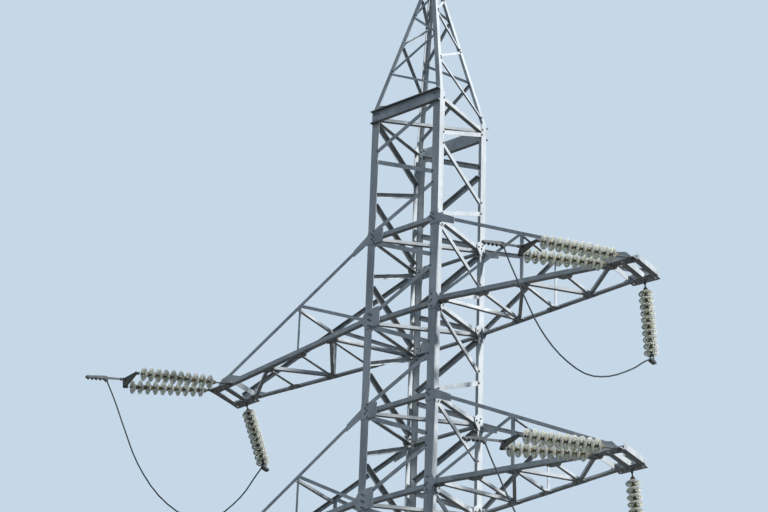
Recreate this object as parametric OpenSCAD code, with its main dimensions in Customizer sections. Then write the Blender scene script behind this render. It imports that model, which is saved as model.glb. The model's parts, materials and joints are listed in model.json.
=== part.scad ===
// Double-circuit dead-end lattice pylon, in millimetres.
// +Z is up and the ground is z = 0. X runs along the crossarms and -Y towards the line that the arms hold.

/* [Levels] */
// Height of the lowest crossarm above the ground
low_arm_z = 15860; // [15000:20:16800]
// Height from one crossarm to the next
arm_pitch = 3470; // [3300:10:3600]
// Height of an arm's tie above its chord, at the tower
tie_rise = 1710; // [1600:10:1780]
// Height of the top beams above the top crossarm
beam_rise = 4265; // [4100:5:4400]
// Height of the peak above the top beams
peak_rise = 3300; // [3000:50:3600]
// Height of the lowest panel, with the long struts down to the feet
base_panel_h = 5300; // [4900:50:5700]
// Height of the second panel from the ground
second_panel_h = 2700; // [2500:50:2900]
// Height of the third panel from the ground
third_panel_h = 2500; // [2300:50:2700]

/* [Tower plan] */
// Width of the square head over the leg heels
head_w = 1500; // [1400:10:1600]
// Width over the leg heels at the ground
base_w = 6000; // [5600:50:6200]
// Half the width of the peak under its cap plate
peak_top_half = 60; // [50:2:75]

/* [Bars] */
// Flange width of the leg angles
leg_flange = 150; // [140:5:160]
// Thickness of the leg angles
leg_t = 15; // [12:1:18]
// Width of the bracing angles
brace_w = 80; // [70:2:90]
// Thickness of the bracing angles
brace_t = 7; // [6:1:9]
// Width of the lighter redundant angles
light_w = 60; // [50:2:66]
// Thickness of the lighter redundant angles
light_t = 5; // [4:1:6]
// Thickness of the gusset plates
gusset_t = 10; // [8:1:12]
// Flange width of the peak's corner angles
peak_leg_w = 90; // [80:2:100]
// Thickness of the peak's corner angles
peak_leg_t = 8; // [7:1:10]
// Width of the peak's lacing angles
peak_bar_w = 46; // [40:2:56]

/* [Top beams] */
// Depth of the channel beams
beam_h = 260; // [220:5:300]
// Flange width of the channel beams
beam_flange = 75; // [60:5:90]
// Web thickness of the channel beams
beam_web_t = 8; // [6:1:10]
// Flange thickness of the channel beams
beam_flange_t = 11; // [9:1:13]
// How far a beam end reaches past the legs
beam_overhang = 5; // [0:5:40]

/* [Crossarms] */
// Reach of the top crossarm from the tower axis
top_reach = 4490; // [4300:10:4800]
// Reach of the middle and low crossarms from the tower axis
low_reach = 4160; // [4000:10:4500]
// How far the tip of a top crossarm hangs below its root
top_drop = 145; // [90:5:170]
// How far the tip of a middle or low crossarm hangs below its root
low_drop = 75; // [50:5:120]
// Half the width of an arm over its chords at the tip frame
tip_half = 360; // [340:5:380]
// Width of the chord angles
chord_w = 84; // [80:2:100]
// Thickness of the chord angles
chord_t = 8; // [7:1:10]
// Width of the tie angles
tie_w = 64; // [56:2:76]
// Height of a tie's lower end above the chord
tie_seat = 130; // [120:2:150]

/* [Arm tips] */
// Length of the tip frame along the arm
tip_len = 515; // [490:5:540]
// Width of an end plate
plate_w = 140; // [130:2:150]
// Thickness of an end plate
plate_t = 14; // [12:1:18]
// Distance of the plate holes from the arm's centre line
hole_y = 370; // [366:1:376]
// Spacing of the two outer holes of a plate
hole_gap = 420; // [400:2:430]
// Diameter of the plate holes
hole_d = 26; // [24:1:30]

/* [Insulators] */
// Number of discs in a string
disc_count = 10; // [8:1:10]
// Diameter of a disc
disc_d = 255; // [240:5:270]
// Spacing of the discs in a tension string
tension_pitch = 146; // [140:1:150]
// Spacing of the discs in a jumper string
jumper_pitch = 127; // [125:1:135]
// Angle of the line from -Y towards -X
line_angle = 28; // [24:1:32]
// Slope of the tension sets below the level
line_droop = 9; // [6:0.5:12]
// Distance from the tip holes to the yoke holes
set_len = 1800; // [1770:10:1860]
// Spacing of the two strings at the yoke
yoke_gap = 560; // [520:10:600]
// Lean of the right arms' jumper strings towards +X
right_lean = 6; // [0:0.5:8]
// Lean of the left arms' jumper strings towards +X
left_lean = 18; // [12:0.5:20]

/* [Feet] */
// Side of a square foot plate
foot_w = 420; // [400:5:460]
// Thickness of a foot plate
foot_t = 25; // [20:1:30]
// Distance from a plate's centre to the leg heel, along X and Y
foot_in = 120; // [110:1:130]
// Spacing of the anchor holes
anchor_gap = 300; // [290:2:310]
// Diameter of the anchor holes
anchor_d = 34; // [28:1:38]

/* [Hidden] */
$fn = 48;

// Levels
mid_arm_z = low_arm_z + arm_pitch;
top_arm_z = mid_arm_z + arm_pitch;
beam_z = top_arm_z + beam_rise;
leg_top_z = beam_z + beam_h / 2;
head_levels = [
  beam_z, top_arm_z + tie_rise, top_arm_z, mid_arm_z + tie_rise, mid_arm_z, low_arm_z + tie_rise, low_arm_z
];
head_panels = [3, 2, 2, 2, 2, 2];
top_arm = [top_arm_z, top_reach, top_drop];
mid_arm = [mid_arm_z, low_reach, low_drop];
low_arm = [low_arm_z, low_reach, low_drop];
base_top_z = base_panel_h;
second_top_z = base_top_z + second_panel_h;
third_top_z = second_top_z + third_panel_h;
cross_panels = 3;

// Plan sizes and slopes
head_half = head_w / 2;
base_half = base_w / 2;
body_slope = (base_half - head_half) / low_arm_z;
body_tilt = atan(body_slope);
peak_slope = (head_half - peak_top_half) / peak_rise;
peak_tilt = atan(peak_slope);

// Clearances: bars of one face stop short of those of the next, pieces that only rest get a seat gap,
// pieces that are one solid overlap by a weld depth, and bars that cross or meet lie a lap apart in depth
corner_gap = leg_t + brace_w + 5;
seat = 0.3;
weld = 0.5;
lap = 1;
fork_gap = 1.2;
node_gap = 100;

function body_half(z) = base_half - body_slope * z;
function body_v(z) = z / cos(body_tilt);
body_lean = sin(body_tilt);
function mix(a, b, f) = a + (b - a) * f;

// Places children on a flat side: x runs to the side's left seen from outside, y up the side and z inwards
module on_side(k, half, z0, tilt) {
  rotate([0, 0, 90 * k])
    translate([0, -half, z0])
      rotate([90 + tilt, 0, 180])
        children();
}

// Angle bar in the xy plane from a to b, cut back at each end, its standing leg on the right (1)
// or on the left (-1)
module bar(a, b, w, t, cut_a = 0, cut_b = 0, edge = 1) {
  length = norm(b - a) - cut_a - cut_b;
  translate([a.x, a.y, 0])
    rotate([0, 0, atan2(b.y - a.y, b.x - a.x)])
      translate([cut_a, 0, 0])
        rotate([90, 0, 90])
          linear_extrude(length)
            scale([edge, 1])
              polygon([[-w / 2, 0], [w / 2, 0], [w / 2, t], [t - w / 2, t], [t - w / 2, w], [-w / 2, w]]);
}

// How far to cut a bar back so that its square end at "to" stays inside a leg line that leans inwards
function end_cut(from, to, w, lean) =
  let (out = abs(to.x - from.x), up = to.y - from.y)
    w / 2 * abs(up - lean * out) / (out + lean * up);

// Angle bar from leg to leg, both its ends kept inside the corner gap
module leg_to_leg(a, b, w, t, lean, edge = 1)
  bar(a, b, w, t, end_cut(b, a, w, lean), end_cut(a, b, w, lean), edge);

// Feet: a plate with anchor holes and two ribs against the leg
module foot() {
  heel = body_half(foot_t);
  rib_h = 180;
  rib_w = 90;
  difference() {
    union() {
      translate([heel - foot_in, heel - foot_in, foot_t / 2])
        cube([foot_w, foot_w, foot_t], center = true);
      for (turn = [0, 1])
        mirror([turn, -turn, 0])
          translate([heel, heel - leg_flange / 2 - 6, foot_t])
            rotate([90, 0, 0])
              translate([0, 0, -6])
                linear_extrude(12)
                  polygon([[0, -1], [rib_w, -1], [rib_w, 12], [20 - body_slope * rib_h, rib_h],
                    [-body_slope * rib_h, rib_h]]);
    }
    for (x = [-1, 1], y = [-1, 1])
      translate([heel - foot_in + x * anchor_gap / 2, heel - foot_in + y * anchor_gap / 2, -1])
        cylinder(d = anchor_d, h = foot_t + 2);
  }
}

module feet() color("#7d8589") {
  for (k = [0:3])
    rotate([0, 0, 90 * k])
      foot();
}

// Tapered body leg at corner 0, front left, built from its two flanges in the planes of the sides
module body_leg(corner) color("#8a9296") {
  low = -60;
  high = low_arm_z + 60;
  rotate([0, 0, 90 * corner])
    difference() {
      for (side = [[0, 1], [3, -1]])
        on_side(side[0], base_half, 0, body_tilt)
          scale([side[1], 1, 1])
            linear_extrude(leg_t)
              polygon([[body_half(low), body_v(low)], [body_half(high), body_v(high)],
                [body_half(high) - leg_flange, body_v(high)], [body_half(low) - leg_flange, body_v(low)]]);
      translate([-base_w, -base_w, -400 + foot_t])
        cube([base_w, base_w, 400]);
      translate([-base_w, -base_w, low_arm_z])
        cube([base_w, base_w, 400]);
    }
}

module head_legs() color("#8a9296") {
  for (k = [0:3])
    rotate([0, 0, 90 * k])
      translate([-head_half, -head_half, low_arm_z])
        linear_extrude(leg_top_z - low_arm_z)
          polygon([[0, 0], [leg_flange, 0], [leg_flange, leg_t], [leg_t, leg_t], [leg_t, leg_flange],
            [0, leg_flange]]);
}

// Leg-side bracing of the lowest panel: a long strut with light bars out to the leg, on half of one side
module base_frame() {
  foot_z = 420;
  apex = [0, body_v(base_top_z)];
  low = [body_half(foot_z) - corner_gap, body_v(foot_z)];
  apex_cut = 190;
  stations = 4;
  bar(apex, low, brace_w, brace_t, apex_cut, end_cut(apex, low, brace_w, body_lean), -1);
  for (i = [1:stations - 1]) {
    inner = mix(low, apex, i / stations);
    outer = [body_half(inner.y * cos(body_tilt)) - corner_gap, inner.y];
    bar(inner, outer, light_w, light_t, 0, end_cut(inner, outer, light_w, body_lean));
    if (i < stations - 1) {
      next = mix(low, apex, (i + 1) / stations);
      start = outer + [0, light_w];
      bar(start, next, light_w, light_t, end_cut(next, start, light_w, body_lean), 0);
    }
  }
}

module base_frames() color("#858d91") {
  for (k = [0:3], s = [-1, 1])
    on_side(k, base_half, 0, body_tilt)
      translate([0, 0, leg_t])
        mirror([s < 0 ? 1 : 0, 0, 0])
          base_frame();
}

// One flat side of the body: crossed panels above, then two panels of inverted V bracing
module body_side(k) color("#858d91")
  on_side(k, base_half, 0, body_tilt) {
    translate([0, 0, leg_t])
      body_bars();
    translate([0, body_v(base_top_z), leg_t - gusset_t])
      linear_extrude(gusset_t + weld)
        polygon([[-150, brace_w / 2], [150, brace_w / 2], [280, -420], [150, -420], [0, -200], [-150, -420],
          [-280, -420]]);
  }

module body_bars() {
  for (i = [0:cross_panels - 1]) {
    end_gap = i < cross_panels - 1 ? node_gap / 2 : 0;
    low = mix(third_top_z, low_arm_z - node_gap, i / cross_panels) + node_gap;
    high = mix(third_top_z, low_arm_z - node_gap, (i + 1) / cross_panels) - end_gap;
    for (s = [-1, 1])
      translate([0, 0, (1 + s) * lap])
        leg_to_leg([s * (body_half(low) - corner_gap), body_v(low)],
          [-s * (body_half(high) - corner_gap), body_v(high)], brace_w, brace_t, body_lean);
  }
  for (z = [base_top_z, second_top_z, third_top_z])
    level_bar(body_half(z) - corner_gap, body_v(z), body_lean);
  for (panel = [[base_top_z, second_top_z], [second_top_z, third_top_z]])
    inverted_v(panel[0], panel[1]);
}

module level_bar(half, v, lean)
  leg_to_leg([-half, v], [half, v], brace_w, brace_t, lean);

module inverted_v(low, high) {
  foot_z = low + node_gap;
  apex_half = 48;
  for (s = [-1, 1]) {
    apex = [s * apex_half, body_v(high)];
    foot = [s * (body_half(foot_z) - corner_gap), body_v(foot_z)];
    translate([0, 0, (2 + s) * lap]) {
      bar(apex, foot, brace_w, brace_t, 0, end_cut(apex, foot, brace_w, body_lean), -s);
      translate([0, 0, lap / 2])
        bar(mix(apex, foot, 0.5), [s * apex_half, body_v(low)], light_w, light_t);
    }
  }
}

// One flat side of the head: a single zigzag from beam to lowest arm, with level bars at the arms and
// ties, and on the sides that carry the arms a gusset plate outside each leg at those levels
function zigzag_z() = [
  for (i = [0:len(head_panels) - 1])
    for (j = [0:head_panels[i] - 1])
      mix(head_levels[i], head_levels[i + 1], j / head_panels[i]),
  low_arm_z
];

module head_side(k) color("#8a9296")
  on_side(k, head_half, 0, 0) {
    translate([0, 0, leg_t]) {
      half = head_half - corner_gap;
      z = zigzag_z();
      for (i = [0:len(z) - 2]) {
        s = i % 2 == 0 ? -1 : 1;
        leg_to_leg([s * half, z[i] - node_gap], [-s * half, z[i + 1] + node_gap], brace_w, brace_t, 0, s);
      }
      for (i = [0:len(head_levels) - 1])
        if (i > 0 || k % 2 == 1)
          level_bar(half, head_levels[i], 0);
    }
    if (k % 2 == 1)
      for (i = [1:len(head_levels) - 1], s = [-1, 1])
        scale([s, 1, 1])
          translate([head_half, head_levels[i], -gusset_t])
            leg_gusset(above_body(head_levels[i], 150));
  }

// How far a plate at height z may reach down: its whole length, or not at all where the body begins
function above_body(z, length) = z > low_arm_z ? length : -2;

module leg_gusset(low)
  linear_extrude(gusset_t)
    polygon([[-6, -low], [-150, -low], [-250, max(-40, -low)], [-250, 60], [-150, 150], [-6, 150]]);

// Plan bracing: one bar from corner to corner at each head level, and a ring of four at the wide levels
module plan_bracing() color("#7d8589") {
  reach = head_half - leg_t - 45;
  for (z = head_levels)
    translate([0, 0, z - brace_w / 2 + brace_t + seat])
      bar([-reach, -reach], [reach, reach], light_w, light_t);
  for (z = [base_top_z, second_top_z, third_top_z])
    plan_ring(z);
}

module plan_ring(z) {
  end_n = leg_t + brace_t + 8;
  drop = (brace_w / 2 - brace_t) * cos(body_tilt) + end_n * sin(body_tilt);
  reach = body_half(z) - end_n - light_w / 2;
  end_gap = light_w / 2 + 2;
  translate([0, 0, z - drop + seat])
    for (k = [0:3])
      rotate([0, 0, 90 * k])
        bar([reach, 0], [0, reach], light_w, light_t, end_gap, end_gap);
}

// Top beams: two channels on the outer faces of the legs
module top_beams() color("#979fa3") {
  for (s = [0, 180])
    rotate([0, 0, s])
      translate([-head_half - beam_overhang, -head_half, beam_z])
        rotate([90, 0, 90])
          linear_extrude(head_w + 2 * beam_overhang)
            polygon([[0, -beam_h / 2], [-beam_flange, -beam_h / 2],
              [-beam_flange, -beam_h / 2 + beam_flange_t], [-beam_web_t, -beam_h / 2 + beam_flange_t],
              [-beam_web_t, beam_h / 2 - beam_flange_t], [-beam_flange, beam_h / 2 - beam_flange_t],
              [-beam_flange, beam_h / 2], [0, beam_h / 2]]);
}

// Peak: four corner angles on the leg tops, a zigzag on each side, and a cap plate with the wire lug
module peak() color("#8a9296") {
  high = peak_rise / cos(peak_tilt) + 30;
  cut_z = leg_top_z + peak_rise;
  difference() {
    for (k = [0:3])
      on_side(k, head_half, leg_top_z, peak_tilt) {
        for (s = [-1, 1])
          scale([s, 1, 1])
            linear_extrude(peak_leg_t)
              polygon([[peak_half(-30) - heel(s), -30], [peak_half(high) - heel(s), high],
                [peak_half(high) - peak_leg_w, high], [peak_half(-30) - peak_leg_w, -30]]);
        translate([0, 0, peak_leg_t - weld])
          peak_lacing();
      }
    translate([-head_w, -head_w, leg_top_z - 200])
      cube([2 * head_w, 2 * head_w, 200]);
    translate([-head_w, -head_w, cut_z])
      cube([2 * head_w, 2 * head_w, 200]);
  }
  translate([0, 0, cut_z + 6])
    cube([170, 170, 12], center = true);
  translate([0, 0, cut_z + 11])
    rotate([90, 0, 90])
      linear_extrude(14, center = true)
        difference() {
          union() {
            translate([-40, 0])
              square([80, 60]);
            translate([0, 60])
              circle(r = 40);
          }
          translate([0, 60])
            circle(d = 24);
        }
}

function peak_half(v) = head_half - peak_slope * v * cos(peak_tilt);

// Of the two flanges that meet at a corner, one ends inside the other's thickness
function heel(s) = s < 0 ? 2 : 0;

module peak_lacing() {
  v = [for (f = [0.03, 0.27, 0.475, 0.68, 0.82]) f * peak_rise / cos(peak_tilt)];
  gap = peak_leg_t + peak_bar_w + 5;
  for (i = [0:len(v) - 2]) {
    s = i % 2 == 0 ? -1 : 1;
    a = [s * (peak_half(v[i]) - gap), v[i] + light_w];
    b = [-s * (peak_half(v[i + 1]) - gap), v[i + 1]];
    leg_to_leg(a, b, peak_bar_w, light_t, sin(peak_tilt), s);
  }
}

// Crossarm frames. An arm is its height, reach and drop. x is measured outwards from the leg face and
// z = 0 is the underside of the chords
function arm_len(arm) = arm[1] - tip_len - head_half;
function arm_half(x, arm) = head_half - (head_half - tip_half) * x / arm_len(arm);
function arm_turn(arm) = atan((head_half - tip_half) / arm_len(arm));
function arm_angle(arm) = asin(arm[2] / (arm[1] - head_half));

// The second, third and fourth of the points where the floor's bars meet the chords, and the first and
// last close to the leg and to the tip frame
function floor_x(arm) = [for (f = [0, 0.245, 0.49, 0.74, 1]) mix(80, arm_len(arm) - 15, f)];

module arm_place(arm, side)
  translate([side * head_half, 0, arm[0]])
    mirror([side < 0 ? 1 : 0, 0, 0])
      rotate([0, arm_angle(arm), 0])
        children();

module crossarm(arm, side) color("#8a9296")
  arm_place(arm, side) {
    for (s = [-1, 1])
      scale([1, s, 1]) {
        chord(arm, side);
        end_plate(arm);
      }
    arm_floor(arm, side);
    tip_bars(arm);
  }

// How far the gusset plates on the front and back reach over a leg, and past it on the left legs
function gusset_in(side) = side > 0 ? leg_flange : 320;

module chord(arm, side) {
  first = gusset_t + 14;
  last = arm[1] - head_half + 25;
  turn = arm_turn(arm);
  inward = [-sin(turn), -cos(turn)] * (chord_w / 2 - chord_t);
  ends = [for (x = [first, last]) [x, arm_half(x, arm)] + inward];
  bar(ends[0], ends[1], chord_w, chord_t, 0, 0, -1);
  // Root gusset on the leg and lug for the tie's lower end
  low = -above_body(arm[0], 150);
  inner = gusset_in(side);
  translate([0, head_half + gusset_t, 0])
    rotate([90, 0, 0])
      linear_extrude(gusset_t)
        polygon([[-inner, low], [-20, low], [60, 4], [60, chord_w - 3], [0, 180], [-40, 235], [-inner, 235]]);
  translate([0, head_half, 0])
    rotate([0, 0, -turn])
      translate([arm_len(arm) / cos(turn), 0, 0])
        rotate([90, 0, 0])
          translate([0, 0, -chord_t])
            linear_extrude(chord_t)
              polygon([[-180, 4], [400, 4], [400, chord_w - 3], [300, 190], [120, 225],
                [-180, chord_w - 3]]);
}

function plate_mid(arm) = arm_len(arm) + tip_len / 2;

module end_plate(arm) {
  length = tip_len + 20;
  corner = 30;
  translate([plate_mid(arm), hole_y, -plate_t])
    linear_extrude(plate_t)
      difference() {
        union() {
          square([length, plate_w - 2 * corner], center = true);
          square([length - 2 * corner, plate_w], center = true);
          for (x = [-1, 1], y = [-1, 1])
            translate([x * (length / 2 - corner), y * (plate_w / 2 - corner)])
              circle(r = corner);
        }
        for (x = [-1, 0, 1])
          translate([x * hole_gap / 2, 0])
            circle(d = hole_d);
      }
}

// Zigzag and cross struts between the chords. A left arm is a right one turned half round
module arm_floor(arm, side) {
  x = floor_x(arm);
  inset = 58;
  translate([0, 0, chord_t - weld]) {
    for (i = [0:len(x) - 2]) {
      s = i % 2 == 0 ? -side : side;
      a = [x[i], s * (arm_half(x[i], arm) - inset)];
      b = [x[i + 1], -s * (arm_half(x[i + 1], arm) - inset)];
      translate([0, 0, i % 2 == 0 ? 0 : -lap])
        bar(a, b, light_w, light_t, light_w / 4, light_w / 4);
    }
    for (i = [1:len(x) - 2]) {
      half = arm_half(x[i], arm) - inset;
      translate([0, 0, -2 * lap])
        bar([x[i], -half], [x[i], half], light_w - 10, light_t);
    }
  }
}

// Tip frame: an upright plate where the floor ends, and two wide bars under the string plates' middle and end
module tip_bars(arm) {
  x0 = arm_len(arm);
  inner_half = arm_half(x0, arm) - 2;
  translate([0, 0, -2 * weld]) {
    translate([x0 - 4, -inner_half, 0])
      cube([chord_t, 2 * inner_half, 110]);
    bar([x0 + 0.45 * tip_len, -hole_y], [x0 + 0.45 * tip_len, hole_y], 100, chord_t, 60, 60);
    bar([x0 + tip_len - 35, -hole_y], [x0 + tip_len - 35, hole_y], 108, chord_t, 30, 30);
  }
}

// Side frames over a crossarm: tie, post and strut in the upright plane of one chord
function tie_root() = [30, tie_rise - 30];
function tie_tip(arm) =
  let (far = (arm_len(arm) + 300) / cos(arm_turn(arm)))
    [far, tie_seat - far * sin(arm_angle(arm))];
function post_x(arm) = floor_x(arm)[2] / cos(arm_turn(arm));
function post_top(arm) =
  let (a = tie_root(), b = tie_tip(arm))
    mix(a.y, b.y, (post_x(arm) - a.x) / (b.x - a.x));

module side_frame(arm, side) {
  turn = arm_turn(arm);
  inner = gusset_in(side) + 10;
  post = [post_x(arm), post_top(arm)];
  post_foot = chord_t + light_t + 12 - post.x * sin(arm_angle(arm));
  translate([0, head_half, 0])
    rotate([0, 0, -turn])
      rotate([90, 0, 0]) {
        translate([0, 0, seat]) {
          bar(tie_root(), tie_tip(arm), tie_w, brace_t, 0, 0, -1);
          translate([0, 0, lap])
            bar([post.x, post_foot], post, light_w - 10, light_t, 0, 10);
          translate([0, 0, 1.5 * lap])
            bar([70, 90], post, light_w, light_t, 0, 34, -1);
        }
        translate([0, 0, seat - gusset_t])
          linear_extrude(gusset_t)
            polygon([[0, tie_rise - 120], [330, tie_rise - 260], [330, tie_rise - 130], [0, tie_rise + 60]]);
      }
  translate([0, head_half + gusset_t, tie_rise])
    rotate([90, 0, 0])
      linear_extrude(gusset_t)
        polygon([[-inner, -150], [10, -150], [10, 70], [-40, 120], [-inner, 120]]);
}

// Strut from the near side frame to the far one, through the tops of their posts
module cross_strut(arm) {
  x = post_x(arm) * cos(arm_turn(arm)) + 16.5;
  half = arm_half(x, arm) - 12;
  translate([x, 0, post_top(arm) - 55])
    rotate([90, 0, 90])
      bar([-half, 0], [half, 0], light_w - 10, light_t);
}

module ties(arm) color("#8a9296") {
  for (side = [-1, 1])
    translate([side * head_half, 0, arm[0]])
      scale([side, 1, 1]) {
        for (s = [-1, 1])
          scale([1, s, 1])
            side_frame(arm, side);
        cross_strut(arm);
      }
}

// Insulator sets, in the frame of an arm tip: the origin is in the middle of the tip frame, half way
// through the plates
module tip_place(arm, side)
  translate([side * head_half, 0, arm[0]])
    rotate([0, side * arm_angle(arm), 0])
      translate([side * plate_mid(arm), 0, -plate_t / 2])
        children();

line_dir = [-sin(line_angle) * cos(line_droop), -cos(line_angle) * cos(line_droop), -sin(line_droop)];
line_side = [cos(line_angle), -sin(line_angle), 0];
yoke_mid = [0, -hole_y, 0] + set_len * line_dir;
function tip_hole(k) = [k * hole_gap / 2, -hole_y, 0];
function yoke_hole(k) = yoke_mid + k * yoke_gap / 2 * line_side;
function aim(v) = [0, asin(-v.z / norm(v)), atan2(v.y, v.x)];

// Disc and core sizes, along the string from each disc's cap rim
cap_h = 70;
cap_r = 48;
head_r = 40;
pin_r = 9;
yoke_link = 200;
yoke_t = 16;
pin_d = hole_d - 2 * seat;

module glass_disc() {
  r = disc_d / 2;
  rotate_extrude()
    polygon([[head_r, 0], [cap_r + 8, -0], [r - 28, 22], [r - 7, 38], [r, 50], [r - 3, 57], [r - 9, 50],
      [r - 23, 40], [r - 27, 58], [r - 35, 58], [r - 39, 37], [r - 57, 33], [r - 60, 60], [r - 68, 60],
      [r - 73, 31], [head_r, 27]]);
}

// Cap and pin core from x = 0, the first cap's rim at the given distance, down to the last pin
module string_core(pitch) {
  rotate_extrude()
    polygon([
      [0, -cap_h],
      for (i = [0:disc_count - 1])
        for (p = [[24, -cap_h], [30, -cap_h + 12], [40, -34], [cap_r, -14], [cap_r, 0], [head_r - seat, 0],
          [head_r - seat, 24], [16, 32], [pin_r, 40]])
          [p.x, p.y + i * pitch],
      [pin_r, (disc_count - 1) * pitch + 76],
      [0, (disc_count - 1) * pitch + 76]
    ]);
}

module along_x(x)
  translate([x, 0, 0])
    rotate([0, 90, 0])
      children();

// Two straps round a plate of thickness t with a pin through it, joined to a block ahead
module fork(t, reach) {
  for (s = [0, 1])
    mirror([0, 0, s])
      translate([0, 0, t / 2 + fork_gap])
        linear_extrude(9)
          union() {
            circle(r = 23);
            translate([0, -23])
              square([reach, 46]);
          }
  cylinder(d = pin_d, h = t + 40, center = true);
  translate([reach - 8, 0, 0])
    cube([20, 46, t + 18 + 2 * fork_gap], center = true);
}

// Strings of a tension set: k = 1 is the +X one, which has the longer link
module tension_string(k) {
  v = yoke_hole(k) - tip_hole(k);
  length = norm(v);
  last = length - yoke_link;
  first = last - (disc_count - 1) * tension_pitch;
  turn = aim(v);
  translate(tip_hole(k))
    rotate([0, 0, turn.z])
      fork(plate_t, 100);
  translate(tip_hole(k))
    rotate(turn) {
      along_x(first)
        string_core(tension_pitch);
      along_x(88)
        cylinder(d = 26, h = first - cap_h - 86);
      translate([length, 0, 0])
        rotate([0, 0, 180])
          fork(yoke_t, 66);
      along_x(last + 70)
        cylinder(d = 34, h = 26);
    }
}

module tension_discs(k) {
  v = yoke_hole(k) - tip_hole(k);
  first = norm(v) - yoke_link - (disc_count - 1) * tension_pitch;
  translate(tip_hole(k))
    rotate(aim(v))
      for (i = [0:disc_count - 1])
        along_x(first + i * tension_pitch)
          glass_disc();
}

// Yoke plate, link and strain clamp. x runs out along the line from the middle of the yoke
link_x = 95;

module yoke() {
  linear_extrude(yoke_t, center = true)
    difference() {
      polygon([[-34, -yoke_gap / 2 - 20], [-20, -yoke_gap / 2 - 36], [20, -yoke_gap / 2 - 36],
        [link_x + 36, -44], [link_x + 36, 44], [20, yoke_gap / 2 + 36], [-20, yoke_gap / 2 + 36],
        [-34, yoke_gap / 2 + 20]]);
      for (p = [[0, -yoke_gap / 2], [0, yoke_gap / 2], [link_x, 0]])
        translate(p)
          circle(d = hole_d);
    }
}

clamp_x = 470;
clamp_len = 380;
clamp_w = 54;

module strain_clamp() {
  translate([link_x, 0, 0])
    fork(yoke_t, 90);
  translate([link_x + 80, -7, -20])
    cube([clamp_x - link_x - 60, 14, 40]);
  translate([0, clamp_w / 2, 0])
    rotate([90, 0, 0])
      linear_extrude(clamp_w)
        polygon([[clamp_x - 20, 26], [clamp_x + 40, 30], [clamp_x + clamp_len, 8],
          [clamp_x + clamp_len, -26], [clamp_x + 70, -26], [clamp_x + 30, -40], [clamp_x, -78],
          [clamp_x - 34, -56], [clamp_x - 20, -20]]);
  for (i = [0:3])
    translate([clamp_x + 100 + i * 76, 0, -28])
      rotate([90, 0, 0])
        cylinder(r = 20, h = clamp_w + 16, center = true);
}

// Jumper string: an eye bolt down through the far plate, ten discs and the clamp that holds the jumper
eye_drop = 60;

module jumper_axis(side)
  translate([0, hole_y, -eye_drop])
    rotate([180, side > 0 ? -right_lean : -left_lean, 0])
      children();

module jumper_string(side) {
  first = 150;
  last = first + (disc_count - 1) * jumper_pitch;
  translate([0, hole_y, -eye_drop])
    cylinder(d = pin_d, h = eye_drop + plate_t / 2 + 34);
  translate([0, hole_y, plate_t / 2 + seat])
    cylinder(d = 44, h = 20, $fn = 6);
  translate([0, hole_y, -eye_drop])
    sphere(r = 22);
  jumper_axis(side) {
    cylinder(d = 24, h = first - cap_h + 2);
    translate([0, 0, first])
      string_core(jumper_pitch);
    translate([0, 0, last + 70]) {
      cylinder(d = 34, h = 30);
      for (s = [-1, 1])
        translate([s * 30 - 4, -20, 20])
          cube([8, 40, 110]);
      translate([-34, -20, 16])
        cube([68, 40, 12]);
      translate([-34, 0, 130])
        rotate([90, 0, 90])
          linear_extrude(68)
            polygon([[-90, 8], [-60, -18], [60, -18], [90, 8], [90, 24], [60, 34], [-60, 34], [-90, 24]]);
    }
  }
}

module jumper_discs(side)
  jumper_axis(side)
    for (i = [0:disc_count - 1])
      translate([0, 0, 150 + i * jumper_pitch])
        glass_disc();

module disc_set(arm, side) color("#c9cfb8")
  tip_place(arm, side) {
    tension_discs(1);
    tension_discs(-1);
    jumper_discs(side);
  }

module fitting_set(arm, side) color("#9aa2a5")
  tip_place(arm, side) {
    tension_string(1);
    tension_string(-1);
    translate(yoke_mid)
      rotate(aim(line_dir)) {
        yoke();
        strain_clamp();
      }
    jumper_string(side);
    jumper_collars(side);
  }

// Jumper: a loose conductor loop from the strain clamp's tail to the clamp under the jumper string
jumper_d = 26;
right_route = [
  [-1040, -2325, -420], [-1020, -2280, -515], [-990, -2215, -655], [-935, -2110, -870], [-855, -1960, -1185],
  [-715, -1690, -1665], [-540, -1350, -2030], [-335, -910, -2225], [-150, -480, -2130], [20, -50, -1850],
  [110, 170, -1645], [155, 280, -1560]
];
left_route = [
  [-1040, -2325, -420], [-1020, -2280, -515], [-990, -2215, -655], [-940, -2120, -900], [-860, -1980, -1300],
  [-730, -1740, -1900], [-540, -1350, -2430], [-280, -860, -2720], [0, -410, -2620], [240, -40, -2170],
  [390, 170, -1730], [465, 280, -1495]
];
jumper_steps = 5;
function jumper_path(side) = curve(side > 0 ? right_route : left_route, jumper_steps);

// Collar at one end of the jumper: the cord meets its face, and its far end is sunk into the clamp
module collar(end, next, length) {
  back = end - next;
  translate(end)
    rotate([0, acos(back.z / norm(back)), atan2(back.y, back.x)])
      cylinder(d = jumper_d + 14, h = length);
}

module jumper_collars(side) {
  p = jumper_path(side);
  n = len(p);
  collar(p[0], p[1], 60);
  collar(p[n - 1], p[n - 2], 50);
}

module jumper(arm, side) color("#8f9496")
  tip_place(arm, side)
    tube(jumper_path(side), jumper_d / 2, 8);

function unit(v) = v / norm(v);

// Smooth curve through the points, in equal steps between each pair
function curve(p, steps) = [
  for (i = [0:len(p) - 2])
    for (j = [0:steps - 1])
      curve_point(p[max(i - 1, 0)], p[i], p[i + 1], p[min(i + 2, len(p) - 1)], j / steps),
  p[len(p) - 1]
];

function curve_point(a, b, c, d, t) =
  0.5 * (2 * b + (c - a) * t + (2 * a - 5 * b + 4 * c - d) * t * t + (3 * b - a - 3 * c + d) * t * t * t);

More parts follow.
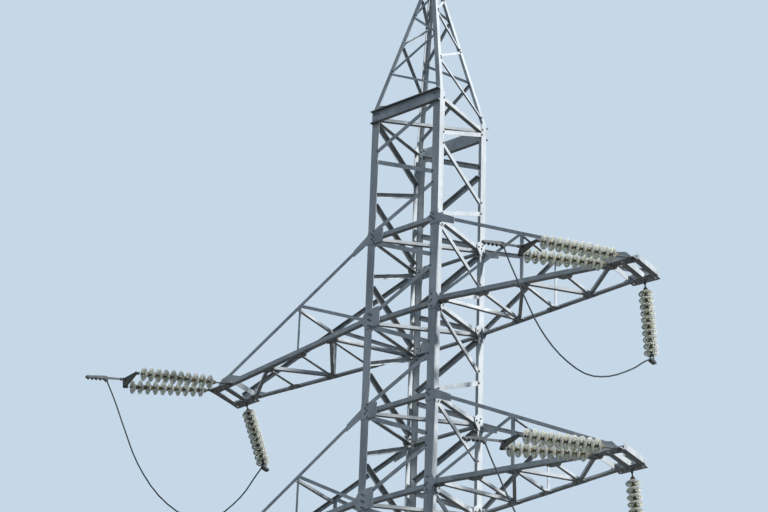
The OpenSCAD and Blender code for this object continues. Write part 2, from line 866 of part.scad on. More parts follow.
module tube(p, r, sides) {
  n = len(p);
  flat = unit(cross(p[n - 1] - p[0], [0, 0, 1]));
  ring = [
    for (i = [0:n - 1])
      let (
        t = unit(p[min(i + 1, n - 1)] - p[max(i - 1, 0)]),
        a = unit(flat - (flat * t) * t),
        b = cross(t, a)
      )
        for (j = [0:sides - 1])
          p[i] + r * (cos(360 * j / sides) * a + sin(360 * j / sides) * b)
  ];
  polyhedron(
    ring,
    [
      [for (j = [0:sides - 1]) j],
      [for (j = [0:sides - 1]) (n - 1) * sides + sides - 1 - j],
      for (i = [0:n - 2], j = [0:sides - 1])
        [i * sides + j, (i + 1) * sides + j, (i + 1) * sides + (j + 1) % sides, i * sides + (j + 1) % sides]
    ]
  );
}

feet();
body_leg(0);  // leg_front_left
body_leg(1);  // leg_front_right
body_leg(2);  // leg_back_right
body_leg(3);  // leg_back_left
head_legs();
base_frames();
body_side(0);  // body_front
body_side(1);  // body_right
body_side(2);  // body_back
body_side(3);  // body_left
head_side(0);  // head_front
head_side(1);  // head_right
head_side(2);  // head_back
head_side(3);  // head_left
plan_bracing();
top_beams();
peak();
crossarm(top_arm, 1);  // arm_top_right
crossarm(top_arm, -1);  // arm_top_left
crossarm(mid_arm, 1);  // arm_mid_right
crossarm(mid_arm, -1);  // arm_mid_left
crossarm(low_arm, 1);  // arm_low_right
crossarm(low_arm, -1);  // arm_low_left
ties(top_arm);  // ties_top
ties(mid_arm);  // ties_mid
ties(low_arm);  // ties_low
disc_set(top_arm, 1);  // discs_top_right
disc_set(top_arm, -1);  // discs_top_left
disc_set(mid_arm, 1);  // discs_mid_right
disc_set(mid_arm, -1);  // discs_mid_left
disc_set(low_arm, 1);  // discs_low_right
disc_set(low_arm, -1);  // discs_low_left
fitting_set(top_arm, 1);  // fittings_top_right
fitting_set(top_arm, -1);  // fittings_top_left
fitting_set(mid_arm, 1);  // fittings_mid_right
fitting_set(mid_arm, -1);  // fittings_mid_left
fitting_set(low_arm, 1);  // fittings_low_right
fitting_set(low_arm, -1);  // fittings_low_left
jumper(top_arm, 1);  // jumper_top_right
jumper(top_arm, -1);  // jumper_top_left
jumper(mid_arm, 1);  // jumper_mid_right
jumper(mid_arm, -1);  // jumper_mid_left
jumper(low_arm, 1);  // jumper_low_right
jumper(low_arm, -1);  // jumper_low_left
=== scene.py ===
"""Finishes a dead-end lattice pylon round its frame: steel, glass discs, bolts, jumpers and studio."""

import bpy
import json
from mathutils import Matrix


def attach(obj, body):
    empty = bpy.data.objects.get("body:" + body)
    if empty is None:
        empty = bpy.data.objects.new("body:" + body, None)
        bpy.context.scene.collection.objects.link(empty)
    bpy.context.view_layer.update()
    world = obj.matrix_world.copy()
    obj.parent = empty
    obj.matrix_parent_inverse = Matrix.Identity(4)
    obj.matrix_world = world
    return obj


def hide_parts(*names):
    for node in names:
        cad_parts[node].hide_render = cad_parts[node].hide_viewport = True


bl_info = {
    "name": "Lattice Pylon",
    "version": (1, 0, 0),
    "blender": (4, 5, 0),
    "location": "View3D > Sidebar > Pylon",
    "description": "Finishes a dead-end lattice pylon with galvanised steel, glass discs, bolts and jumpers",
    "category": "Object",
}

import json
import math

import bmesh
import bpy
from bpy.props import FloatProperty, FloatVectorProperty, IntProperty, PointerProperty
from bpy.types import Operator, Panel, PropertyGroup
from mathutils import Matrix, Vector

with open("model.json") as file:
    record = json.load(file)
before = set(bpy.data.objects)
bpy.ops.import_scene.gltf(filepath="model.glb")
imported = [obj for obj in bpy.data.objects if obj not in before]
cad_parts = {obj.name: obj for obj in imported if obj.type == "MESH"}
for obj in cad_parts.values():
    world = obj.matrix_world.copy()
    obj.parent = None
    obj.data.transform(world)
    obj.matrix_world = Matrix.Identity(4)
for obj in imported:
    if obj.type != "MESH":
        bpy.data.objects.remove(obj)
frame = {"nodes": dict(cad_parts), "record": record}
NODES = frame["nodes"]
MOUNTS = {m["name"]: m for m in frame["record"]["mounts"]}
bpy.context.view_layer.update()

TIPS = ["top_right", "top_left", "mid_right", "mid_left", "low_right", "low_left"]
BODY = "root"

# From an arm's centre line to the holes of its end plates, in metres
HOLE_Y = -MOUNTS["arm_hole_top_right"]["pos_m"][1]

# Sides of the round shapes, and the angles from which an edge stays sharp
DISC_SIDES = 32
CAP_SIDES = 20
CONDUCTOR_SIDES = 16
WASHER_SIDES = 10
THREAD_SIDES = 8
FLOOR_SIDES = 96
SHARP_ANGLE = math.radians(35)
BOLT_SHARP_ANGLE = math.radians(25)


def linear(text):
    """Linear RGB of an sRGB hex colour."""
    parts = [int(text[i:i + 2], 16) / 255 for i in (1, 3, 5)]
    return tuple(c / 12.92 if c <= 0.04045 else ((c + 0.055) / 1.055) ** 2.4 for c in parts)


def colour(name, text, description):
    return FloatVectorProperty(
        name=name, description=description, default=linear(text), size=3, subtype="COLOR", min=0, max=1)


def length(name, metres, description):
    return FloatProperty(name=name, description=description, default=metres, unit="LENGTH", subtype="DISTANCE")


class PylonColours(PropertyGroup):
    """Colours of the pylon's finishes and painted shade, and of the studio."""

    steel: colour("Steel", "#DCE0E2", "Weathered zinc on the legs, arms and bracing")
    steel_dark: colour("Steel patina", "#B9C0C4", "Darker patches of the zinc's patina")
    # Painted shade: a dark brown-grey that faces looking down are mixed towards, standing in for the shade
    # under the bars
    underside_painted_shade: colour("Underside", "#444037", "Dusty film on faces that rain never washes")
    glass: colour("Glass", "#FBFCF2", "Toughened glass of the discs")
    glass_tint: colour("Glass tint", "#EEF1DC", "Greener clouds in the glass")
    cap: colour("Cap", "#8A815F", "Weathered iron of the disc caps")
    cap_dust: colour("Cap dust", "#5E5439", "Darker dust on the caps")
    # Painted shade: the forged fittings' zinc and patina are set far darker than the tower's steel, standing in
    # for the shade they hang in
    fitting_in_painted_shade: colour("Fitting", "#5C6367", "Zinc on forged fittings")
    fitting_patina_and_shade: colour("Fitting patina", "#3B4144", "Darker patches on the fittings")
    # Partly painted shade: aluminium weathers dark, and this colour is darker still, standing in for the shade
    # on the thin wires
    conductor: colour("Conductor", "#333B42", "Weathered stranded aluminium")
    # Painted shade: the grooves between the strands are darkened as if shaded
    strand_groove_painted_shade: colour("Conductor grooves", "#191D21", "Grooves between the strands")
    # Partly painted shade: the bolts' zinc is set darker than the tower's steel, standing in for the shade on
    # their heads and nuts
    bolt: colour("Bolt", "#8F969A", "Zinc on bolts and nuts")
    bolt_patina_and_shade: colour("Bolt patina", "#6B7277", "Darker patches on the bolts")
    backdrop: colour("Backdrop", "#C6D8E8", "Plain pale backdrop")
    soft_light: colour("Soft light", "#A6C6E6", "Light that the sky throws into the shade")
    floor: colour("Floor", "#D9DDDF", "Plain pale floor")
    floor_dark: colour("Floor in soft light", "#54585A", "The floor as the undersides of the tower see it")


class TowerSizes(PropertyGroup):
    """Sizes of the tower that the bolts and node plates follow."""

    low_arm_z: length("Low arm height", 15.86, "Height of the lowest crossarm")
    arm_pitch: length("Arm pitch", 3.47, "Height from one crossarm to the next")
    tie_rise: length("Tie rise", 1.71, "Height of a tie's root above its arm")
    beam_rise: length("Beam rise", 4.265, "Height of the top beams above the top arm")
    beam_depth: length("Beam depth", 0.26, "Depth of the top beams")
    beam_web_t: length("Beam web", 0.008, "Thickness of the top beams' webs")
    head_width: length("Head width", 1.5, "Width of the head over the leg heels")
    base_width: length("Base width", 6.0, "Width over the leg heels at the ground")
    peak_rise: length("Peak rise", 3.3, "Height of the peak above the top beams")
    peak_top: length("Peak top", 0.06, "Half the width of the peak at its top")
    peak_leg_t: length("Peak leg thickness", 0.008, "Thickness of a peak leg's flange")
    first_panel: length("First panel", 5.3, "Height of the panel over the feet")
    second_panel: length("Second panel", 2.7, "Height of the second panel")
    third_panel: length("Third panel", 2.5, "Height of the third panel")
    leg_flange: length("Leg flange", 0.15, "Width of a leg's flange")
    leg_t: length("Leg thickness", 0.015, "Thickness of a leg's flange")
    brace_w: length("Brace width", 0.08, "Width of the bracing angles")
    brace_t: length("Brace thickness", 0.007, "Thickness of the bracing angles")
    light_w: length("Light bar width", 0.06, "Width of the lighter angles")
    light_t: length("Light bar thickness", 0.005, "Thickness of the lighter angles")
    gusset_t: length("Gusset thickness", 0.01, "Thickness of the gusset plates")
    corner_gap: length("Corner gap", 0.1, "From a leg's heel to the ends of the bars")
    node_gap: length("Node gap", 0.1, "From a level to the ends of the bars above and below it")
    top_reach: length("Top reach", 4.49, "Reach of the top arms from the tower's axis")
    low_reach: length("Low reach", 4.16, "Reach of the other arms from the tower's axis")
    top_drop: length("Top drop", 0.145, "Drop of a top arm's tip")
    low_drop: length("Low drop", 0.075, "Drop of another arm's tip")
    chord_t: length("Chord thickness", 0.008, "Thickness of the arms' chords")
    tip_half: length("Tip half width", 0.36, "Half the width of an arm at its tip frame")
    tip_len: length("Tip frame length", 0.515, "Length of the tip frame")
    end_plate_t: length("End plate", 0.014, "Thickness of the plates at an arm's tip")


class BoltSizes(PropertyGroup):
    """Sizes of the hexagon bolts."""

    flats: length("Across flats", 0.03, "Width of a bolt's head")
    head_h: length("Head height", 0.0125, "Height of a bolt's head")
    nut_h: length("Nut height", 0.016, "Height of a nut")
    shank: length("Shank", 0.02, "Diameter of a bolt's shank")
    washer_d: length("Washer", 0.037, "Diameter of a washer")
    washer_t: length("Washer thickness", 0.003, "Thickness of a washer")
    past: length("Thread past nut", 0.008, "Thread that shows past the nut")
    node_plate_t: length("Node plate", 0.008, "Thickness of the plates under the arms' nodes")


class StringSizes(PropertyGroup):
    """Sizes of the insulator strings."""

    discs: IntProperty(name="Discs", description="Discs in a string", default=10, min=1)
    disc_d: length("Disc diameter", 0.255, "Diameter of a disc")
    tension_pitch: length("Tension pitch", 0.146, "Spacing of the discs in a tension string")
    jumper_pitch: length("Jumper pitch", 0.127, "Spacing of the discs in a jumper string")
    set_length: length("Set length", 1.8, "From the plate holes to the yoke's holes")
    yoke_gap: length("Yoke gap", 0.56, "Spacing of the two strings at the yoke")
    hole_gap: length("Hole gap", 0.42, "Spacing of the two outer holes of a plate")
    yoke_link: length("Yoke link", 0.2, "From the last disc's rim to the yoke's hole")
    jumper_first: length("First jumper disc", 0.15, "From the eye bolt to the first disc's rim")
    eye_drop: length("Eye drop", 0.06, "From the plate down to the eye bolt's eye")
    line_angle: FloatProperty(
        name="Line angle", description="Turn of the line from -Y towards -X", default=math.radians(28),
        subtype="ANGLE")
    droop: FloatProperty(
        name="Droop", description="Slope of the tension strings", default=math.radians(9), subtype="ANGLE")
    right_lean: FloatProperty(
        name="Right lean", description="Lean of the right arms' jumper strings towards +X",
        default=math.radians(6), subtype="ANGLE")
    left_lean: FloatProperty(
        name="Left lean", description="Lean of the left arms' jumper strings towards +X",
        default=math.radians(18), subtype="ANGLE")


class JumperSizes(PropertyGroup):
    """Sizes of the jumper loops."""

    diameter: length("Diameter", 0.026, "Diameter of the conductor")
    strand_lay: length("Strand lay", 0.24, "Length in which an outer strand turns once")
    strands: IntProperty(name="Strands", description="Outer strands of the conductor", default=16, min=6)


def colours():
    return bpy.context.scene.pylon_colours


def tower():
    return bpy.context.scene.pylon_tower


def bolts():
    return bpy.context.scene.pylon_bolts


def strings():
    return bpy.context.scene.pylon_strings


def jumpers():
    return bpy.context.scene.pylon_jumpers


# Meshes and pieces
def mesh_of(name, bm, sharp_angle=SHARP_ANGLE):
    """Mesh of a bmesh, smooth but for its sharp edges."""
    mesh = bpy.data.meshes.new(name)
    bm.to_mesh(mesh)
    bm.free()
    mesh.shade_smooth()
    mesh.set_sharp_from_angle(angle=sharp_angle)
    return mesh


def new_piece(name, bm, finish, sharp_angle=SHARP_ANGLE):
    """Object of a bmesh that rides on the pylon, with its finish."""
    piece = bpy.data.objects.new(name, mesh_of(name, bm, sharp_angle))
    bpy.context.scene.collection.objects.link(piece)
    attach(piece, BODY)
    piece.data.materials.append(finish)
    return piece


def take_in(bm, other):
    """Moves all of another bmesh into this one."""
    carrier = bpy.data.meshes.new("carrier")
    other.to_mesh(carrier)
    other.free()
    bm.from_mesh(carrier)
    bpy.data.meshes.remove(carrier)


def copies(template, places):
    """One bmesh that holds the template at each place. The template itself is freed."""
    bm = bmesh.new()
    source = bpy.data.meshes.new("template")
    template.to_mesh(source)
    template.free()
    for place in places:
        start = len(bm.verts)
        bm.from_mesh(source)
        bm.verts.ensure_lookup_table()
        bmesh.ops.transform(bm, matrix=place, verts=bm.verts[start:])
    bpy.data.meshes.remove(source)
    return bm


def revolved(profile, segments):
    """Closed shape of a profile of (radius, height) points turned about Z."""
    bm = bmesh.new()
    points = [bm.verts.new((radius, 0, height)) for radius, height in profile]
    edges = [bm.edges.new(pair) for pair in zip(points, points[1:] + points[:1])]
    bmesh.ops.spin(
        bm, geom=points + edges, cent=(0, 0, 0), axis=(0, 0, 1), angle=math.tau, steps=segments, use_merge=True)
    bmesh.ops.remove_doubles(bm, verts=bm.verts, dist=1e-5)
    bmesh.ops.recalc_face_normals(bm, faces=bm.faces)
    return bm


def facing(point, way):
    """Place at a point, its Z axis along the way."""
    place = way.to_track_quat("Z", "Y").to_matrix().to_4x4()
    place.translation = point
    return place


def along(start, end, distance):
    """Place on the way from start to end, its Z axis along the way."""
    way = (end - start).normalized()
    return facing(start + way * distance, way)


def tip_frame(tip):
    """Frame of an arm tip: the hole in the middle of its near plate, moved to the arm's centre line."""
    mount = MOUNTS["arm_hole_" + tip]
    hole = Vector(mount["pos_m"])
    up = -Vector(mount["axis"]).normalized()
    far = Vector((0, 1, 0))
    at = Matrix((far.cross(up), far, up)).transposed().to_4x4()
    at.translation = (hole.x, 0, hole.z)
    return at


# Insulator strings, all in the frame of an arm tip
def string_ends(k):
    """Plate hole and yoke hole of a tension string, k = 1 on the +X side."""
    s = strings()
    line = Vector((
        -math.sin(s.line_angle) * math.cos(s.droop), -math.cos(s.line_angle) * math.cos(s.droop),
        -math.sin(s.droop)))
    side = Vector((math.cos(s.line_angle), -math.sin(s.line_angle), 0))
    yoke = Vector((0, -HOLE_Y, 0)) + s.set_length * line
    return Vector((k * s.hole_gap / 2, -HOLE_Y, 0)), yoke + k * s.yoke_gap / 2 * side


def disc_places(tip):
    """Places of a tip's discs, tension strings first, then the jumper string."""
    s = strings()
    lean = s.left_lean if tip.endswith("left") else s.right_lean
    places = []
    for k in (1, -1):
        start, end = string_ends(k)
        first = (end - start).length - s.yoke_link - (s.discs - 1) * s.tension_pitch
        places += [along(start, end, first + i * s.tension_pitch) for i in range(s.discs)]
    eye = Vector((0, HOLE_Y, -s.eye_drop))
    down = Vector((math.sin(lean), 0, -math.cos(lean)))
    places += [along(eye, eye + down, s.jumper_first + i * s.jumper_pitch) for i in range(s.discs)]
    return places


# The two profiles below hold (radius, height) points in metres, with heights from the arm's tip outwards
def disc_shape():
    """Glass shell: a smooth dome over ribs, its rim rounded."""
    r = strings().disc_d / 2
    profile = [
        (0.0405, 0.0), (0.050, -0.001), (0.062, 0.002), (0.080, 0.010), (0.098, 0.021), (0.112, 0.031),
        (r - 0.006, 0.040), (r - 0.0015, 0.047), (r, 0.053), (r - 0.003, 0.057), (r - 0.008, 0.054),
        (r - 0.014, 0.045), (r - 0.022, 0.041), (r - 0.026, 0.046), (r - 0.028, 0.056), (r - 0.031, 0.058),
        (r - 0.034, 0.056), (r - 0.037, 0.042), (r - 0.045, 0.036), (r - 0.056, 0.034), (r - 0.060, 0.046),
        (r - 0.062, 0.058), (r - 0.065, 0.060), (r - 0.068, 0.058), (r - 0.072, 0.034), (0.0405, 0.027)]
    return revolved(profile, DISC_SIDES)


def cap_shape():
    """Iron cap over a disc, with its shoulder and rolled rim."""
    profile = [
        (0.0195, -0.0715), (0.0250, -0.0715), (0.0290, -0.066), (0.0315, -0.058), (0.0360, -0.048),
        (0.0412, -0.036), (0.0440, -0.026), (0.0485, -0.016), (0.0500, -0.010), (0.0500, -0.003),
        (0.0480, -0.0008), (0.0405, -0.0008)]
    return revolved(profile, CAP_SIDES)


class PYLON_OT_discs(Operator):
    """Makes the glass discs and iron caps of every arm tip"""

    bl_idname = "pylon.discs"
    bl_label = "Discs"

    def execute(self, context):
        glass = toughened_glass()
        iron = cap_iron()
        for tip in TIPS:
            at_tip = [tip_frame(tip) @ place for place in disc_places(tip)]
            discs = new_piece("glass_discs_" + tip, copies(disc_shape(), at_tip), glass)
            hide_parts("discs_" + tip)
            new_piece("disc_caps_" + tip, copies(cap_shape(), at_tip), iron)
        return {"FINISHED"}


# Jumpers. The routes are in a tip's frame, in metres, and are the centre lines of the conductors
JUMPER_ROUTES = {
    "right": [
        (-1.040, -2.325, -0.420), (-1.020, -2.280, -0.515), (-0.990, -2.215, -0.655), (-0.935, -2.110, -0.870),
        (-0.855, -1.960, -1.185), (-0.715, -1.690, -1.665), (-0.540, -1.350, -2.030), (-0.335, -0.910, -2.225),
        (-0.150, -0.480, -2.130), (0.020, -0.050, -1.850), (0.110, 0.170, -1.645), (0.155, 0.280, -1.560)],
    "left": [
        (-1.040, -2.325, -0.420), (-1.020, -2.280, -0.515), (-0.990, -2.215, -0.655), (-0.940, -2.120, -0.900),
        (-0.860, -1.980, -1.300), (-0.730, -1.740, -1.900), (-0.540, -1.350, -2.430), (-0.280, -0.860, -2.720),
        (0.000, -0.410, -2.620), (0.240, -0.040, -2.170), (0.390, 0.170, -1.730), (0.465, 0.280, -1.495)]}
ROUTE_STEPS = 3


def smooth_route(points, steps):
    """Points of a smooth curve through the given ones."""
    found = []
    for i in range(len(points) - 1):
        a, b, c, d = (Vector(points[j]) for j in (max(i - 1, 0), i, i + 1, min(i + 2, len(points) - 1)))
        for j in range(steps):
            t = j / steps
            found.append(0.5 * (
                2 * b + (c - a) * t + (2 * a - 5 * b + 4 * c - d) * t ** 2 + (3 * b - a - 3 * c + d) * t ** 3))
    found.append(Vector(points[-1]))
    return found


def conductor(path, radius, sides):
    """Tube along a path, and its length. Its UV map runs round the tube and, in metres, along it."""
    bm = bmesh.new()
    flat = (path[-1] - path[0]).cross(Vector((0, 0, 1))).normalized()
    uv = bm.loops.layers.uv.new("UVMap")
    rings, run = [], [0.0]
    for i, point in enumerate(path):
        way = (path[min(i + 1, len(path) - 1)] - path[max(i - 1, 0)]).normalized()
        across = (flat - flat.dot(way) * way).normalized()
        place = Matrix((across, way.cross(across), way)).transposed().to_4x4()
        place.translation = point
        made = bmesh.ops.create_circle(bm, segments=sides, radius=radius, matrix=place)
        rings.append(made["verts"])
        if i:
            run.append(run[-1] + (point - path[i - 1]).length)
    for i in range(len(rings) - 1):
        for j in range(sides):
            k = (j + 1) % sides
            face = bm.faces.new((rings[i][j], rings[i][k], rings[i + 1][k], rings[i + 1][j]))
            corners = [(j, i), (j + 1, i), (j + 1, i + 1), (j, i + 1)]
            for loop, (around, ring) in zip(face.loops, corners):
                loop[uv].uv = (around / sides, run[ring])
    bm.faces.new(rings[0][::-1])
    bm.faces.new(rings[-1])
    bmesh.ops.recalc_face_normals(bm, faces=bm.faces)
    return bm, run[-1]


class PYLON_OT_jumpers(Operator):
    """Makes the jumper loop under every arm tip"""

    bl_idname = "pylon.jumpers"
    bl_label = "Jumpers"

    def execute(self, context):
        wire = stranded_aluminium()
        size = jumpers().diameter
        for tip in TIPS:
            route = JUMPER_ROUTES[tip.split("_")[1]]
            path = [tip_frame(tip) @ point for point in smooth_route(route, ROUTE_STEPS)]
            tube, run = conductor(path, size / 2, CONDUCTOR_SIDES)
            loop = new_piece("jumper_loop_" + tip, tube, wire)
            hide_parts("jumper_" + tip)
        return {"FINISHED"}


# Bolts and node plates
def placed(at, points):
    """Places of bolts at points of two or three values in the frame at, their heads towards its -Z."""
    out = (at.to_3x3() @ Vector((0, 0, -1))).normalized()
    return [facing(at @ Vector((*point, 0)[:3]), out) for point in points]


def on_side(k, half, z=0.0, tilt=0.0):
    """Frame of a flat side: x to the side's left seen from outside, y up the side and z inwards. The
    sides k are 0 at -Y, 1 at +X, 2 at +Y and 3 at -X."""
    return (
        Matrix.Rotation(k * math.pi / 2, 4, "Z") @ Matrix.Translation((0, -half, z))
        @ Matrix.Rotation(math.pi, 4, "Z") @ Matrix.Rotation(math.pi / 2 + tilt, 4, "X"))


def bar_ends(a, b, back):
    """Points on a bar at a distance from each of its ends."""
    a, b = Vector(a), Vector(b)
    way = (b - a).normalized() * back
    return [a + way, b - way]


def square_cut(a, b, width):
    """How far a bar's square end stands back from a leg."""
    return width / 2 * abs(b[1] - a[1]) / abs(b[0] - a[0])


# Head, in metres. Bars of the zigzag between one level and the next, from the top
ZIGZAG_BARS = (3, 2, 2, 2, 2, 2)
# From the end of a zigzag bar and of a level bar to its bolt
ZIGZAG_BOLT = 0.016
LEVEL_BOLT = 0.022
# From the middle of a leg's flange to its line of bolts, towards the flange's edge
LEG_LINE = 0.01
# Rows of bolts on the legs: at an arm and at a tie on the front and back, and on the plates of the other sides
ARM_ROWS = (0.146, 0.03, -0.096)
TIE_ROWS = (0.055, -0.043)
SIDE_ROWS = (0.085, -0.085)
# From a leg's heel to the bolt in the inner end of a side plate
SIDE_PLATE_BOLT = 0.21
# Bolts at a beam's end, from the leg's line and from the beam's middle
BEAM_BOLTS = [(-0.035, -0.07), (-0.035, 0.07), (0.035, -0.07), (0.035, 0.07)]


def head_heights():
    """Heights of the head's levels from the top: the beams, then each arm's tie and the arm."""
    t = tower()
    heights = [t.low_arm_z + 2 * t.arm_pitch + t.beam_rise]
    for arm in (2, 1, 0):
        level = t.low_arm_z + arm * t.arm_pitch
        heights += [level + t.tie_rise, level]
    return heights


def zigzag_heights():
    """Heights at which the head's zigzag meets the legs."""
    levels = head_heights()
    found = []
    for upper, lower, bars in zip(levels, levels[1:], ZIGZAG_BARS):
        found += [upper + (lower - upper) * i / bars for i in range(bars)]
    return found + [levels[-1]]


def head_bolts():
    """Bolts of the head by the thickness that they clamp."""
    t = tower()
    half, grip = t.head_width / 2, t.leg_t + t.brace_t
    inner = half - t.corner_gap
    leg_line = half - t.leg_flange / 2 - LEG_LINE
    plain, plated = [], []
    levels, knots = head_heights(), zigzag_heights()
    beams, gusseted, lowest = levels[0], levels[1:], levels[-1]
    for k in range(4):
        arm_side = k % 2 == 1
        side, plate = on_side(k, half), on_side(k, half + t.gusset_t)
        for i, (upper, lower) in enumerate(zip(knots, knots[1:])):
            s = -1 if i % 2 == 0 else 1
            a, b = (s * inner, upper - t.node_gap), (-s * inner, lower + t.node_gap)
            ends = bar_ends(a, b, square_cut(a, b, t.brace_w) + ZIGZAG_BOLT)
            for end, knot in zip(ends, (upper, lower)):
                if knot in gusseted:
                    plated += placed(plate, [end])
                else:
                    plain += placed(side, [end])
        if arm_side:
            plain += placed(side, [(x * (inner - LEVEL_BOLT), beams) for x in (-1, 1)])
        for level in gusseted:
            plated += placed(plate, [(x * (inner - LEVEL_BOLT), level) for x in (-1, 1)])
        for i, level in enumerate(gusseted):
            rows = SIDE_ROWS if arm_side else ARM_ROWS if i % 2 else TIE_ROWS
            rises = [rise for rise in rows if rise > 0 or level != lowest]
            plated += placed(plate, [(x * leg_line, level + rise) for x in (-1, 1) for rise in rises])
            if arm_side and level != lowest:
                plated += placed(plate, [(x * (half - SIDE_PLATE_BOLT), level) for x in (-1, 1)])
        if not arm_side:
            beam = on_side(k, half + t.beam_web_t, beams)
            plain += placed(beam, [(x * leg_line + dx, dz) for x in (-1, 1) for dx, dz in BEAM_BOLTS])
    return {grip: plain, grip + t.gusset_t: plated}


# Body, in metres. Crossed panels under the head, and from the ends of a bar and of a level bar to its bolt
CROSS_PANELS = 3
CROSS_BOLT = 0.018
BODY_LEVEL_BOLT = 0.024
# Inverted V bars: from the side's middle to the upper ends, and from the lower end to its bolt in bar widths
APEX_HALF = 0.048
V_BOLT = 0.55
# Height of the long struts' feet, and from there to their bolt, inwards and up
STRUT_Z = 0.42
STRUT_BOLT = (0.005, 0.075)


def body_half(z):
    t = tower()
    return t.base_width / 2 - (t.base_width - t.head_width) / 2 * z / t.low_arm_z


def body_bolts():
    """Bolts of the tapered body's crossed panels, level bars, inverted V bars and long struts."""
    t = tower()
    tilt = math.atan((t.base_width - t.head_width) / 2 / t.low_arm_z)
    rise = 1 / math.cos(tilt)
    heights = [t.first_panel, t.first_panel + t.second_panel, t.first_panel + t.second_panel + t.third_panel]
    panel = (t.low_arm_z - t.node_gap - heights[2]) / CROSS_PANELS
    points = []
    for i in range(CROSS_PANELS):
        low = heights[2] + i * panel + t.node_gap
        high = heights[2] + (i + 1) * panel - (t.node_gap / 2 if i < CROSS_PANELS - 1 else 0)
        for s in (-1, 1):
            a = (s * (body_half(low) - t.corner_gap), low * rise)
            b = (-s * (body_half(high) - t.corner_gap), high * rise)
            points += bar_ends(a, b, square_cut(a, b, t.brace_w) + CROSS_BOLT)
    for z in heights:
        points += [(x * (body_half(z) - t.corner_gap - BODY_LEVEL_BOLT), z * rise) for x in (-1, 1)]
    for low, high in zip(heights, heights[1:]):
        for s in (-1, 1):
            foot = (s * (body_half(low + t.node_gap) - t.corner_gap), (low + t.node_gap) * rise)
            points.append(bar_ends(foot, (s * APEX_HALF, high * rise), t.brace_w * V_BOLT)[0])
    inwards, up = STRUT_BOLT
    strut_x = body_half(STRUT_Z) - t.corner_gap
    points += [(x * (strut_x - inwards), STRUT_Z * rise + up) for x in (-1, 1)]
    places = []
    for k in range(4):
        places += placed(on_side(k, t.base_width / 2, 0, tilt), points)
    return {t.leg_t + t.brace_t: places}


# Peak: heights of the lacing's ends as parts of its rise, and from the peak's edge to the bolts in metres
PEAK_PARTS = (0.03, 0.27, 0.475, 0.68, 0.82)
PEAK_BOLT = 0.072


def peak_bolts():
    """Bolts of the peak's lacing."""
    t = tower()
    half = t.head_width / 2
    slope = (half - t.peak_top) / t.peak_rise
    tilt = math.atan(slope)
    base = t.low_arm_z + 2 * t.arm_pitch + t.beam_rise + t.beam_depth / 2
    heights = [part * t.peak_rise / math.cos(tilt) for part in PEAK_PARTS]
    points = []
    for i, (low, high) in enumerate(zip(heights, heights[1:])):
        s = -1 if i % 2 == 0 else 1
        for x, v in ((s, low + t.light_w), (-s, high)):
            points.append((x * (half - slope * v * math.cos(tilt) - PEAK_BOLT), v))
    places = []
    for k in range(4):
        places += placed(on_side(k, half, base, tilt), points)
    return {t.peak_leg_t + t.light_t: places}


# Arms, in metres. Where the floor's bars meet as parts of its length, and what is left free at its ends
FLOOR_PARTS = (0, 0.245, 0.49, 0.74, 1)
FLOOR_START = 0.08
FLOOR_END = 0.015
# How far the floor's bars are let into the chords
WELD = 0.0005
# Pairs of bolts under a chord and under a diagonal: half their gap, and from the chord's edge inwards
CHORD_PAIR = (0.07, 0.045)
DIAGONAL_PAIR = (0.05, 0.105)
# Bolts under an end plate: along the arm from the plate's middle, and inwards from the line of its holes
PLATE_BOLTS = (-0.15, -0.06, 0.06, 0.15)
PLATE_BOLT_IN = 0.045
# Outline of a node plate, its straight side along the chord's edge and its inner corners cut off
NODE_PLATE = [(-0.14, 0.0), (0.14, 0.0), (0.14, -0.07), (0.08, -0.15), (-0.08, -0.15), (-0.14, -0.07)]


def arms():
    """Height, reach, drop and side of every arm, from the top."""
    t = tower()
    for level, reach, drop in (
            (2, t.top_reach, t.top_drop), (1, t.low_reach, t.low_drop), (0, t.low_reach, t.low_drop)):
        for side in (1, -1):
            yield t.low_arm_z + level * t.arm_pitch, reach, drop, side


def arm_frame(z, reach, drop, side):
    """Frame of an arm: x outwards from the leg face, z = 0 under the chords."""
    half = tower().head_width / 2
    return (
        Matrix.Translation((side * half, 0, z)) @ Matrix.Diagonal((side, 1, 1, 1))
        @ Matrix.Rotation(math.asin(drop / (reach - half)), 4, "Y"))


def floor_nodes(run, side):
    """Points on the chords where the floor's bars meet: x, half width, side and if a diagonal ends there."""
    t = tower()
    half = t.head_width / 2
    for i, part in enumerate(FLOOR_PARTS):
        x = FLOOR_START + part * (run - FLOOR_START - FLOOR_END)
        width = half - (half - t.tip_half) * x / run
        for s in (-1, 1):
            diagonal = (s == -side) == (i % 2 == 0)
            if diagonal or 0 < i < len(FLOOR_PARTS) - 1:
                yield x, width, s, diagonal


def arm_bolts_and_plates():
    """Bolt places of the arms, and places of the plates under the nodes of their floors."""
    t, b = tower(), bolts()
    half = t.head_width / 2
    under, plates = [], []
    for z, reach, drop, side in arms():
        at = arm_frame(z, reach, drop, side)
        run = reach - t.tip_len - half
        turn = math.atan((half - t.tip_half) / run)
        for x, width, s, diagonal in floor_nodes(run, side):
            pairs = [CHORD_PAIR, DIAGONAL_PAIR] if diagonal else [CHORD_PAIR]
            under += placed(at, [
                (x + dx, s * (width - inwards), -b.node_plate_t)
                for gap, inwards in pairs for dx in (-gap, gap)])
            plates.append(
                at @ Matrix.Translation((x, s * width, 0)) @ Matrix.Rotation(-s * turn, 4, "Z")
                @ Matrix.Diagonal((1, s, 1, 1)))
        plate_x = run + t.tip_len / 2
        under += placed(at, [
            (plate_x + dx, s * (HOLE_Y - PLATE_BOLT_IN), -t.end_plate_t)
            for dx in PLATE_BOLTS for s in (-1, 1)])
    return under, plates


# Chamfer of a hexagon as a part of its height
CHAMFER = 0.12


